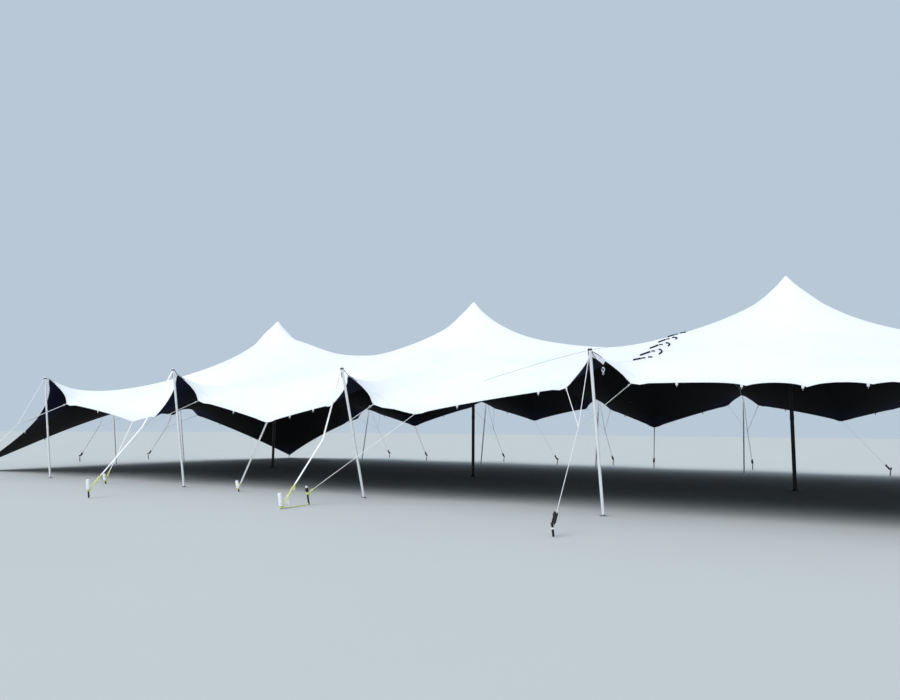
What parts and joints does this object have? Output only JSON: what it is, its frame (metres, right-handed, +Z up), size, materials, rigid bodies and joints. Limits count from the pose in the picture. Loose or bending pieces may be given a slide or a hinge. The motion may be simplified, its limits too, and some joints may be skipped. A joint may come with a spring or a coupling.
{
  "type": "stretch tent",
  "caption": "Freeform stretch tent: two laced elastic canopies over king poles, rim raised on leaning side poles and pulled down by ratchet straps to stakes.",
  "frame": {"origin": "centre of the foot of the middle king pole, on the ground", "axes": "+X along the ridge to the right of the open front, +Y from the front to the rear, +Z up"},
  "size_m": [36.2544, 20.4223, 5.3413],
  "materials": {
    "fabric": "matte",
    "king_pole": "satin",
    "side_pole": "satin",
    "strap": "matte"
  },
  "bodies": {
    "root": {"canopy_west": "fabric", "canopy_east": "fabric", "king_pole_1": "king_pole", "king_pole_2": "king_pole", "king_pole_3": "king_pole", "front_pole_1": "side_pole", "front_pole_2": "side_pole", "front_pole_3": "side_pole", "front_pole_4": "side_pole", "front_pole_5": "side_pole", "rear_pole_1": "side_pole", "rear_pole_2": "side_pole", "rear_pole_3": "side_pole", "rear_pole_4": "side_pole", "rear_pole_5": "side_pole", "left_pole_1": "side_pole", "left_pole_2": "side_pole", "right_pole_1": "side_pole", "right_pole_2": "side_pole", "front_guy_1": "strap", "front_guy_2": "strap", "front_guy_3": "strap", "front_guy_4": "strap", "front_guy_5": "strap", "rear_guy_1": "strap", "rear_guy_2": "strap", "rear_guy_3": "strap", "rear_guy_4": "strap", "rear_guy_5": "strap", "left_guy_1": "strap", "left_guy_2": "strap", "right_guy_1": "strap", "right_guy_2": "strap", "front_tie_down_1": "strap", "front_tie_down_2": "strap", "front_tie_down_3": "strap", "rear_tie_down_1": "strap", "rear_tie_down_2": "strap", "rear_tie_down_3": "strap", "rear_tie_down_4": "strap", "corner_anchor_1": "strap", "corner_anchor_2": "strap", "corner_anchor_3": "strap", "corner_anchor_4": "strap"}
  },
  "joints": []
}
